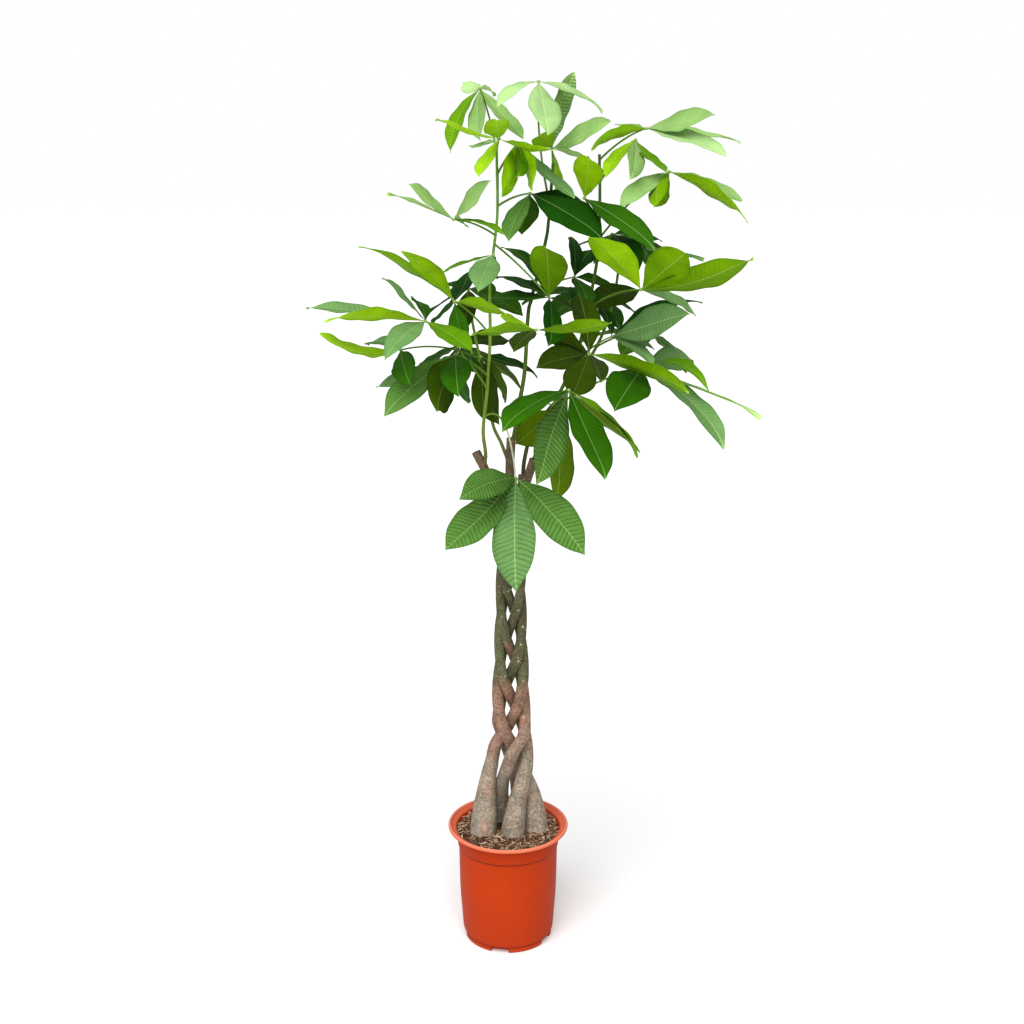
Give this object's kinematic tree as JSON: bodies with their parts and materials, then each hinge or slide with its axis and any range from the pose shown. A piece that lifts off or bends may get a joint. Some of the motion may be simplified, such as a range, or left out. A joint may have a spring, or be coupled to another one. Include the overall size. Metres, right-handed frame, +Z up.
{
  "type": "potted money tree",
  "caption": "Potted money tree with plaited stems, slender green shoots and palmate leaves in a tapered nursery pot with a rolled rim.",
  "frame": {"origin": "middle of the pot's flat underside", "axes": "+Z up along the pot's axis, -Y towards the viewer of the picture, +X to the viewer's right"},
  "size_m": [0.8251, 0.6405, 1.715],
  "materials": {
    "pot": "satin moulded",
    "soil": "rough potting mix",
    "bark": "matte bark",
    "shoot": "smooth green bark",
    "leaf_young": "satin leaf",
    "leaf_pale": "glossy leaf",
    "leaf_mid": "satin leaf",
    "leaf_dark": "satin leaf",
    "leaf_olive": "matte leaf underside"
  },
  "bodies": {
    "root": {"pot": "pot", "soil": "soil", "trunk_front": "bark", "trunk_back_left": "bark", "trunk_left": "bark", "trunk_back_right": "bark", "trunk_right": "bark", "shoot_1": "shoot", "shoot_2": "shoot", "shoot_3": "shoot", "shoot_4": "shoot", "shoot_5": "shoot", "leaf_01": "leaf_pale", "leaf_02": "leaf_young", "leaf_03": "leaf_young", "leaf_04": "leaf_pale", "leaf_05": "leaf_young", "leaf_06": "leaf_pale", "leaf_07": "leaf_pale", "leaf_08": "leaf_young", "leaf_09": "leaf_pale", "leaf_10": "leaf_dark", "leaf_11": "leaf_dark", "leaf_12": "leaf_mid", "leaf_13": "leaf_mid", "leaf_14": "leaf_dark", "leaf_15": "leaf_dark", "leaf_16": "leaf_young", "leaf_17": "leaf_dark", "leaf_18": "leaf_mid", "leaf_19": "leaf_olive", "leaf_20": "leaf_young", "leaf_21": "leaf_mid", "leaf_22": "leaf_young", "leaf_23": "leaf_mid", "leaf_24": "leaf_dark", "leaf_25": "leaf_olive", "leaf_26": "leaf_olive", "leaf_27": "leaf_mid", "leaf_28": "leaf_mid", "leaf_29": "leaf_mid", "leaf_30": "leaf_dark", "leaf_31": "leaf_mid", "leaf_32": "leaf_mid", "leaf_33": "leaf_dark"}
  },
  "joints": []
}
